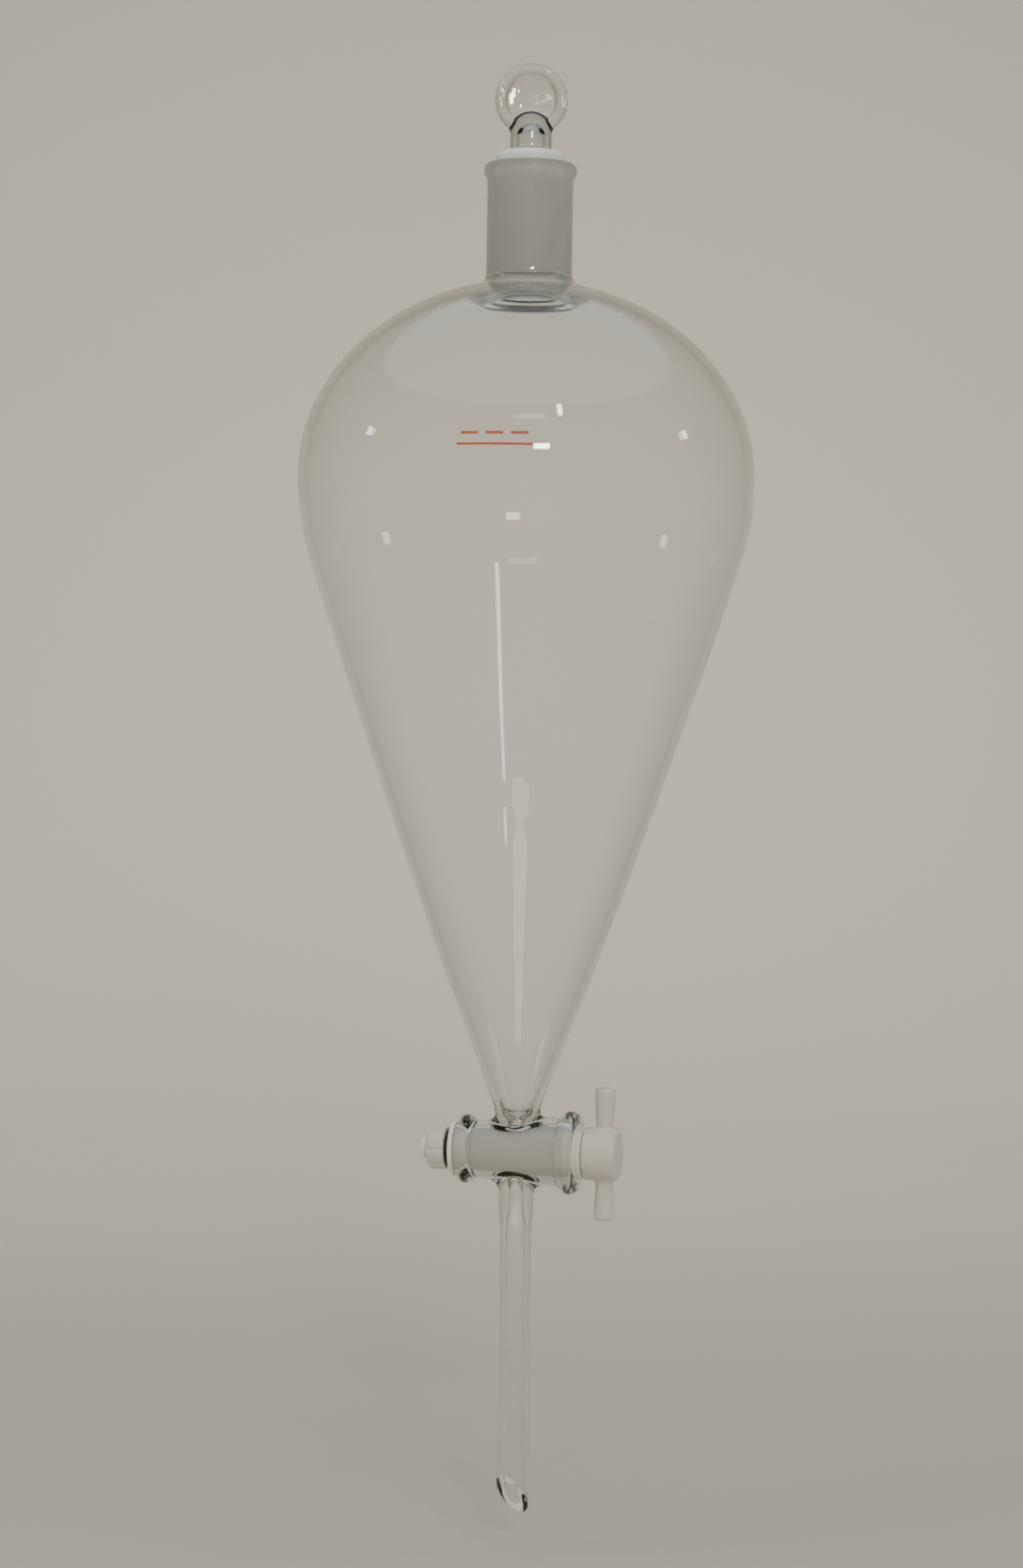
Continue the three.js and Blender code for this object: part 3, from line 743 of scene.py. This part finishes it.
cavity += arc((foot_radius - 3.9, STOPPER_FOOT + 4.2), (1.8, 1.8), -90.0, 0.0, 6)
cavity += [(stopper_radius(z) - 2.1, float(z)) for z in np.linspace(188.0, 205.0, 6)]
cavity += arc((4.3, 206.0), (stopper_radius(206.0) - 2.1 - 4.3, 3.4), 12.0, 82.0, 8)
cavity += [(4.3, 210.6), (4.2, 212.5), (4.1, 215.2)]
cavity += arc((0.0, 215.2), (4.1, 4.8), 8.0, 82.0, 12) + [(0.0, 220.0)]

clear_stopper, tree, shader, output, place = new_material("pressed_borosilicate", {
    "Base Color": linear("#FFFFFF"), "Transmission Weight": 1.0, "Roughness": 0.0,
    "IOR": GLASS_IOR})
absorb(tree, output, "#B0BFB6", 60.0)
# Pressing leaves the head a little uneven, with shallow chill ripples a few millimetres wide.
chill = add_node(tree, "ShaderNodeTexNoise", links={"Vector": place},
                 values={"Scale": 160.0, "Detail": 2.0, "Roughness": 0.45})
bump(tree, shader, chill.outputs[0], 0.16)

stopper_outer = mesh_arrays(turned("stopper_cone", stopper_outside, 120, clear_stopper))
head_points, head_faces = surface_net(
    head_field, (-13.4, -13.4, HEAD_NET_LOW), (13.4, 13.4, HEAD_TOP + 0.8), NET_STEP)
head_points = settle(head_field, head_points, head_faces, HEAD_NET_LOW, HEAD_NET_LOW)
stopper_points, stopper_faces = join_at_rings([stopper_outer, (head_points, head_faces)])
stopper_mesh = mesh_from_arrays("stopper", stopper_points, stopper_faces,
                                (clear_stopper, ground_glass))
cavity_mesh = turned("stopper_cavity", cavity, 96, clear_stopper)
tidy_normals(cavity_mesh)
cavity_mesh.flip_normals()
both = bmesh.new()
both.from_mesh(stopper_mesh)
both.from_mesh(cavity_mesh)
both.to_mesh(stopper_mesh)
both.free()
for face in stopper_mesh.polygons:
    centre = face.center / MM
    radius = math.hypot(centre[0], centre[1])
    on_cone = radius > stopper_radius(centre[2]) - 0.4 and centre[2] > STOPPER_FOOT + 1.2
    on_shoulder = radius > STOPPER_NECK + 1.0 and CONE_TOP < centre[2] < CONE_TOP + 3.2
    face.material_index = 1 if centre[2] < 212.0 and (on_cone or on_shoulder) else 0
add_piece("stopper", stopper_mesh, "stopper", ("stopper",))


# --- Stopcock plug ------------------------------------------------------------------------
# One turned piece of white PTFE: a slow taper with a cross bore, sealing ribs and a collar at
# its wide end, a square shank for the handle, and a thread with a flat at its small end.
plug_low, plug_high = (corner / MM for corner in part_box("stopcock_plug"))
COLLAR = (22.0, 24.0, 8.65)
RIBS = 4
RIB_FIRST = 16.9
RIB_PITCH = 1.3
RIB_HEIGHT = 0.34
THREAD_RADIUS = 4.0
THREAD_PITCH = 1.5
THREAD_FLAT = 3.2
SHANK_SIDE = 8.0
BORE_RADIUS = 2.0


def plug_radius(x):
    return PLUG_RADIUS + PLUG_TAPER * x


plug_profile = [(0.0, plug_low[0])]
plug_profile += arc((THREAD_RADIUS - 1.2, plug_low[0] + 1.2), (1.0, 1.2), -90.0, 0.0, 6)
plug_profile += [(THREAD_RADIUS, float(x)) for x in np.arange(plug_low[0] + 1.4, -20.6, 0.125)]
plug_profile += [(THREAD_RADIUS - 0.5, -20.4), (THREAD_RADIUS - 0.5, -19.8)]
plug_profile += arc((plug_radius(-19.0) - 0.8, -19.0), (0.8, 0.8), -90.0, 0.0, 5)
# Two fine witness grooves are turned near the small end.
for groove_x in (-17.6, -16.2):
    plug_profile += [(plug_radius(groove_x) - dip, groove_x + shift)
                     for shift, dip in ((-0.4, 0.0), (-0.2, 0.16), (0.2, 0.16), (0.4, 0.0))]
plug_profile += [(plug_radius(x), float(x)) for x in np.linspace(-14.0, RELIEF_X - 0.3, 14)]
for rib in range(RIBS):
    rib_x = RIB_FIRST + rib * RIB_PITCH
    root = plug_radius(rib_x) - 0.12
    plug_profile += [(root + RIB_HEIGHT * (0.5 + 0.5 * math.cos(a)), rib_x + a / math.pi * 0.62)
                     for a in np.linspace(-math.pi, math.pi, 9)]
plug_profile += [(plug_radius(21.7) - 0.3, 21.75), (COLLAR[2] - 0.25, COLLAR[0]),
                 (COLLAR[2], COLLAR[0] + 0.25), (COLLAR[2], COLLAR[1] - 0.25),
                 (COLLAR[2] - 0.25, COLLAR[1])]
shank_radius = SHANK_SIDE / 2
plug_profile += [(shank_radius, COLLAR[1] + 0.01), (shank_radius, plug_high[0] - 0.4),
                 (shank_radius - 0.4, plug_high[0]), (0.0, plug_high[0])]

ptfe, tree, shader, output, place = new_material("turned_white_ptfe", {
    "Base Color": linear("#F2F1EB"), "Roughness": 0.42, "IOR": 1.36,
    "Subsurface Weight": 0.15, "Subsurface Scale": 0.001})
# PTFE is waxy and a little translucent; turning leaves fine rings round its axis.
split = add_node(tree, "ShaderNodeSeparateXYZ", links={"Vector": place})
rings = add_node(tree, "ShaderNodeTexNoise", noise_dimensions="1D",
                 values={"Scale": 2600.0, "Detail": 2.0},
                 links={"W": split.outputs["X"]})
bump(tree, shader, rings.outputs[0], 0.03)
shade = add_node(tree, "ShaderNodeTexNoise", links={"Vector": place},
                 values={"Scale": 90.0, "Detail": 2.0})
mottle(tree, shader, shade.outputs[0], "#EFEDE6", "#F6F5F1")


def lay_along_x(mesh):
    """Turns a piece made on the Z axis onto the stopcock's axis."""
    flat = np.empty(len(mesh.vertices) * 3)
    mesh.vertices.foreach_get("co", flat)
    points = flat.reshape(-1, 3)
    laid = np.column_stack((points[:, 2], points[:, 0], points[:, 1] + cock_z * MM))
    mesh.vertices.foreach_set("co", laid.ravel())
    return laid


plug_mesh = turned("stopcock_plug", plug_profile, 112, ptfe, **{
    "Thread Depth": 1.1 * MM, "Thread Pitch": THREAD_PITCH * MM,
    "Thread Low": (plug_low[0] + 1.3) * MM, "Thread High": -20.7 * MM})
laid = lay_along_x(plug_mesh)
up = laid[:, 2] - cock_z * MM
on_thread = laid[:, 0] < -20.3 * MM
laid[:, 2] = np.where(on_thread, cock_z * MM + np.minimum(up, THREAD_FLAT * MM), laid[:, 2])
turn = np.arctan2(up, laid[:, 1])
square = (np.abs(np.cos(turn)) ** 10 + np.abs(np.sin(turn)) ** 10) ** -0.1
on_shank = laid[:, 0] > (COLLAR[1] + 0.005) * MM
laid[:, 1] = np.where(on_shank, laid[:, 1] * square, laid[:, 1])
laid[:, 2] = np.where(on_shank, cock_z * MM + up * square, laid[:, 2])
plug_mesh.vertices.foreach_set("co", laid.ravel())
tidy_normals(plug_mesh)
drill_mesh = turned("drill", [(0.0, cock_z - 14.0), (BORE_RADIUS, cock_z - 14.0),
                              (BORE_RADIUS, cock_z + 14.0), (0.0, cock_z + 14.0)], 48, ptfe)
tidy_normals(drill_mesh)
drill = bpy.data.objects.new("drill", drill_mesh)
bored = bpy.data.objects.new("bored", plug_mesh)
for made in (drill, bored):
    bpy.context.scene.collection.objects.link(made)
cutter = bored.modifiers.new("cross_bore", "BOOLEAN")
cutter.object = drill
cutter.operation = "DIFFERENCE"
cutter.solver = "EXACT"
plug_mesh = bpy.data.meshes.new_from_object(
    bored.evaluated_get(bpy.context.evaluated_depsgraph_get()))
for made in (drill, bored):
    bpy.data.objects.remove(made)
plug_mesh.name = "stopcock_plug"
plug_mesh.set_sharp_from_angle(angle=math.radians(38.0))
add_piece("stopcock_plug", plug_mesh, "plug", ("stopcock_plug",))


# --- T-handle -----------------------------------------------------------------------------
# One moulding of white polypropylene: a round hub, pressed on the plug's square shank, and
# two arms that widen towards rounded tips. Every inside corner is filleted by the mould.
handle_low, handle_high = (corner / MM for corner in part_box("tee_handle"))
HUB_RADIUS = 9.1
ARM_X = 31.0
ARM_REACH = 22.7
ARM_ROOT = 2.9
ARM_TIP = 3.5
HANDLE_NET_STEP = 0.42


def capped(from_line, along, radius, half, edge):
    """A round bar's field with rounded ends."""
    side = from_line - (radius - edge)
    end = along - (half - edge)
    outside = np.hypot(np.maximum(side, 0.0), np.maximum(end, 0.0))
    return outside + np.minimum(np.maximum(side, end), 0.0) - edge


def handle_field(p):
    x, y, z = p[..., 0], p[..., 1], p[..., 2] - cock_z
    middle = (handle_low[0] + handle_high[0]) / 2
    half = (handle_high[0] - handle_low[0]) / 2
    edge = np.where(x > middle, 1.7, 0.5)
    draft = 0.012 * (handle_high[0] - x)
    hub = capped(np.hypot(y, z), np.abs(x - middle), HUB_RADIUS - 0.14 + draft, half, edge)
    swell = smooth_step((np.abs(z) - 8.0) / (ARM_REACH - 9.0))
    arm = capped(np.hypot(x - ARM_X, y), np.abs(z), ARM_ROOT + (ARM_TIP - ARM_ROOT) * swell,
                 ARM_REACH, 1.15)
    moulding = smooth_min(hub, arm, 1.3)
    pocket = np.maximum(np.maximum(np.abs(y), np.abs(z)) - SHANK_SIDE / 2 - 0.2,
                        x - (plug_high[0] + 0.3))
    return smooth_max(moulding, -pocket, 0.3)


handle_plastic, tree, shader, output, place = new_material("moulded_polypropylene", {
    "Base Color": linear("#D9D7CE"), "Roughness": 0.36, "IOR": 1.49,
    "Subsurface Weight": 0.08, "Subsurface Scale": 0.001})
# The mould's fine spark-eroded face leaves an even satin grain, about 0.3 mm wide.
grain = add_node(tree, "ShaderNodeTexNoise", links={"Vector": place},
                 values={"Scale": 1500.0, "Detail": 3.0, "Roughness": 0.6})
bump(tree, shader, grain.outputs[0], 0.02)
cloud = add_node(tree, "ShaderNodeTexNoise", links={"Vector": place},
                 values={"Scale": 70.0, "Detail": 2.0})
mottle(tree, shader, cloud.outputs[0], "#D5D3C9", "#DDDBD3")

hub_side = HUB_RADIUS + NET_MARGIN
arm_side = ARM_REACH + NET_MARGIN
handle_points, handle_faces = surface_net(
    handle_field, (handle_low[0] - NET_MARGIN, -hub_side, cock_z - arm_side),
    (handle_high[0] + NET_MARGIN, hub_side, cock_z + arm_side), HANDLE_NET_STEP)
handle_points = settle(handle_field, handle_points, handle_faces)
handle_mesh = mesh_from_arrays("tee_handle", handle_points, handle_faces.tolist(),
                               (handle_plastic,))
add_piece("tee_handle", handle_mesh, "plug", ("tee_handle",))


# --- Tension washer -----------------------------------------------------------------------
# A flat PTFE ring between barrel and O-ring. Its hole has the same flat as the thread, so it
# turns with the plug and keeps the nut from working loose.
washer_low, washer_high = (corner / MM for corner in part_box("tension_washer"))
WASHER_RADIUS = washer_high[1]
SLIDING_GAP = 0.2
EDGE = 0.35


def ring_profile(low, high, hole, radius, edge):
    """A closed section of a flat ring with rounded outer edges."""
    return ([(hole, high), (hole, low), (radius - edge, low)]
            + arc((radius - edge, low + edge), (edge, edge), -80.0, 0.0, 4)
            + arc((radius - edge, high - edge), (edge, edge), 0.0, 80.0, 4)
            + [(radius - edge, high), (hole, high)])


hole_radius = THREAD_RADIUS + SLIDING_GAP
washer_mesh = turned("tension_washer", ring_profile(
    washer_low[0], washer_high[0], hole_radius, WASHER_RADIUS, EDGE), 112, ptfe)
laid = lay_along_x(washer_mesh)
up = laid[:, 2] - cock_z * MM
in_hole = np.hypot(laid[:, 1], up) < (hole_radius + 0.1) * MM
flat_up = np.minimum(up, (THREAD_FLAT + SLIDING_GAP) * MM)
laid[:, 2] = np.where(in_hole, cock_z * MM + flat_up, laid[:, 2])
washer_mesh.vertices.foreach_set("co", laid.ravel())
tidy_normals(washer_mesh)
washer_mesh.set_sharp_from_angle(angle=math.radians(50.0))
add_piece("tension_washer", washer_mesh, "washer", ("tension_washer",))


# --- O-ring -------------------------------------------------------------------------------
# A black nitrile rubber ring round the thread, squeezed a little flat between washer and nut:
# it is the spring that keeps the plug drawn into its barrel.
ring_low, ring_high = (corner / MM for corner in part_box("o_ring"))
RING_MIDDLE = 5.6
RING_DEPTH = ring_high[1] - RING_MIDDLE

rubber, tree, shader, output, place = new_material("black_nitrile_rubber", {
    "Base Color": linear("#171716"), "Roughness": 0.55, "IOR": 1.52})
# Moulded rubber is dull, with a fine grain that breaks its highlight.
grain = add_node(tree, "ShaderNodeTexNoise", links={"Vector": place},
                 values={"Scale": 2500.0, "Detail": 3.0})
bump(tree, shader, grain.outputs[0], 0.03)

ring_mesh = turned("o_ring", arc((RING_MIDDLE, (ring_low[0] + ring_high[0]) / 2),
                                 (RING_DEPTH, (ring_high[0] - ring_low[0]) / 2),
                                 0.0, 360.0, 28), 112, rubber)
lay_along_x(ring_mesh)
tidy_normals(ring_mesh)
add_piece("o_ring", ring_mesh, "o_ring", ("o_ring",))


# --- Retaining nut ------------------------------------------------------------------------
# A moulded nut on the plug's thread, gripped by the fingers at eight shallow flutes. Its
# outer end is bevelled, and turning it sets how tightly the plug sits.
nut_low, nut_high = (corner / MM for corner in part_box("retaining_nut"))
NUT_RADIUS = 7.55
NUT_FLUTES = 8
FLUTE_DEPTH = 0.42

nut_profile = [(hole_radius, nut_high[0]), (hole_radius, nut_low[0] + 0.5),
               (hole_radius + 0.5, nut_low[0]), (NUT_RADIUS - 1.5, nut_low[0])]
nut_profile += arc((NUT_RADIUS - 1.5, nut_low[0] + 0.6), (0.6, 0.6), -80.0, -30.0, 4)
nut_profile += arc((NUT_RADIUS - 0.6, nut_low[0] + 1.5), (0.6, 0.6), -45.0, 0.0, 4)
nut_profile += [(NUT_RADIUS, float(x))
                for x in np.linspace(nut_low[0] + 1.9, nut_high[0] - 0.6, 6)]
nut_profile += arc((NUT_RADIUS - 0.4, nut_high[0] - 0.4), (0.4, 0.4), 10.0, 90.0, 4)
nut_profile += [(hole_radius + 0.6, nut_high[0]), (hole_radius, nut_high[0])]
nut_mesh = turned("retaining_nut", nut_profile, 160, handle_plastic, **{
    "Flutes": NUT_FLUTES, "Flute Depth": FLUTE_DEPTH * MM, "Flute Radius": 5.5 * MM})
lay_along_x(nut_mesh)
tidy_normals(nut_mesh)
nut_mesh.set_sharp_from_angle(angle=math.radians(40.0))
add_piece("retaining_nut", nut_mesh, "nut", ("retaining_nut",))


# --- Studio -------------------------------------------------------------------------------
# A round, seamless pale sweep, floor and wall in one. Most of the light is the room's own, soft
# and even from all sides, and a few lamps add to it.
FLOOR_Z = -0.275
SWEEP_RADIUS = 2.3
SWEEP_BEND = 1.0
SWEEP_HEIGHT = 2.2
LAMP_DISTANCE = 2.0
FILL_DISTANCE = 2.1
LIT_POINT = (0.0, 0.0, 0.05)
POOL_DISTANCE = 2.1

paper, tree, shader, output, place = new_material("pale_studio_paper", {
    "Base Color": linear("#C3BDAF"), "Roughness": 0.9})
sweep_profile = [(0.0, FLOOR_Z / MM), (400.0, FLOOR_Z / MM), (900.0, FLOOR_Z / MM)]
sweep_profile += arc(((SWEEP_RADIUS - SWEEP_BEND) / MM, (FLOOR_Z + SWEEP_BEND) / MM),
                     (SWEEP_BEND / MM, SWEEP_BEND / MM), -90.0, 0.0, 24)
sweep_profile += [(SWEEP_RADIUS / MM, SWEEP_HEIGHT / MM)]
sweep_mesh = turned("sweep", sweep_profile, 128, paper)
sweep = bpy.data.objects.new("sweep", sweep_mesh)
bpy.context.scene.collection.objects.link(sweep)


def to_track(direction):
    """A rotation whose -Z axis points along a direction and whose Y axis points up."""
    forward = direction / np.linalg.norm(direction)
    side = np.cross(forward, (0.0, 0.0, 1.0))
    side /= np.linalg.norm(side)
    over = np.cross(side, forward)
    return Matrix((side, over, -forward)).transposed().to_4x4()


def add_light(name, azimuth, elevation, distance, size, power, colour="#FFFFFF",
              target=LIT_POINT):
    """A soft rectangular lamp, placed by its direction from the funnel and aimed."""
    turn, tilt = math.radians(azimuth), math.radians(elevation)
    place = np.array((math.sin(turn) * math.cos(tilt), -math.cos(turn) * math.cos(tilt),
                      math.sin(tilt))) * distance + np.array(LIT_POINT)
    lamp = bpy.data.lights.new(name, "AREA")
    lamp.shape = "RECTANGLE"
    lamp.size, lamp.size_y = size
    lamp.energy = power
    lamp.color = linear(colour)[:3]
    light = bpy.data.objects.new(name, lamp)
    light.visible_camera = False
    light.matrix_world = Matrix.Translation(place) @ to_track(np.array(target) - place)
    bpy.context.scene.collection.objects.link(light)
    return light


VIEW_AZIMUTH = FRONT_AZIMUTH
# Small lamps give the glass its highlights. The wide ones light the sweep and the bare plastic,
# and are hidden from the glass, where they would show as tall streaks.
add_light("lamp", VIEW_AZIMUTH + 7.2, 15.4, LAMP_DISTANCE, (0.26, 0.11), 9.0, "#FFF8EE")
add_light("strip", VIEW_AZIMUTH + 18.0, 38.6, LAMP_DISTANCE, (0.07, 0.23), 2.4)
add_light("key", VIEW_AZIMUTH + 1.0, 34.8, LAMP_DISTANCE, (0.5, 0.08), 0.32)
add_light("left_window", VIEW_AZIMUTH - 88.0, 21.0, LAMP_DISTANCE, (0.1, 0.13), 0.9)
add_light("right_window", VIEW_AZIMUTH + 88.0, 21.0, LAMP_DISTANCE, (0.1, 0.13), 0.9)
for name, azimuth, elevation, size, power in (
        ("overhead", -30.0, 72.0, (1.8, 1.8), 9.0),
        ("left_fill", -60.0, 35.0, (0.9, 1.3), 7.0),
        ("right_fill", 70.0, 30.0, (0.7, 1.3), 4.0)):
    fill = add_light(name, VIEW_AZIMUTH + azimuth, elevation, FILL_DISTANCE, size, power)
    fill.visible_glossy = False
    fill.visible_transmission = False

# A pool of light on the wall behind the funnel leaves the wall's sides darker, and the glass
# shows its edges against them.
wall_turn = math.radians(VIEW_AZIMUTH)
pool = add_light("wall_pool", VIEW_AZIMUTH, 84.0, 1.6, (0.5, 0.5), 7.0,
                 target=(-POOL_DISTANCE * math.sin(wall_turn),
                         POOL_DISTANCE * math.cos(wall_turn), 0.0))
pool.data.spread = math.radians(75.0)
pool.visible_glossy = False

world = bpy.data.worlds.new("room")
bpy.context.scene.world = world
world.use_nodes = True
background = world.node_tree.nodes["Background"]
background.inputs["Color"].default_value = linear("#C9CCD0")
background.inputs["Strength"].default_value = 1.15

CAMERA_DISTANCE = 1.2
CAMERA_HEIGHT = 0.012
AIM_HEIGHT = -0.0067
SIDESTEP = -0.0036
ROLL = 0.8
view_turn = math.radians(VIEW_AZIMUTH)
right = np.array((math.cos(view_turn), math.sin(view_turn), 0.0))
behind = np.array((math.sin(view_turn), -math.cos(view_turn), 0.0))
eye = behind * CAMERA_DISTANCE + right * SIDESTEP + np.array((0.0, 0.0, CAMERA_HEIGHT))
aim = right * SIDESTEP + np.array((0.0, 0.0, AIM_HEIGHT))
lens = bpy.data.cameras.new("camera")
lens.sensor_fit = "VERTICAL"
lens.sensor_height = 36.0
lens.lens = 18.0 / math.tan(math.radians(25.4) / 2)
lens.clip_start = 0.05
camera = bpy.data.objects.new("camera", lens)
camera.matrix_world = (Matrix.Translation(eye) @ to_track(aim - eye)
                       @ Matrix.Rotation(math.radians(ROLL), 4, "Z"))
bpy.context.scene.collection.objects.link(camera)
bpy.context.scene.camera = camera
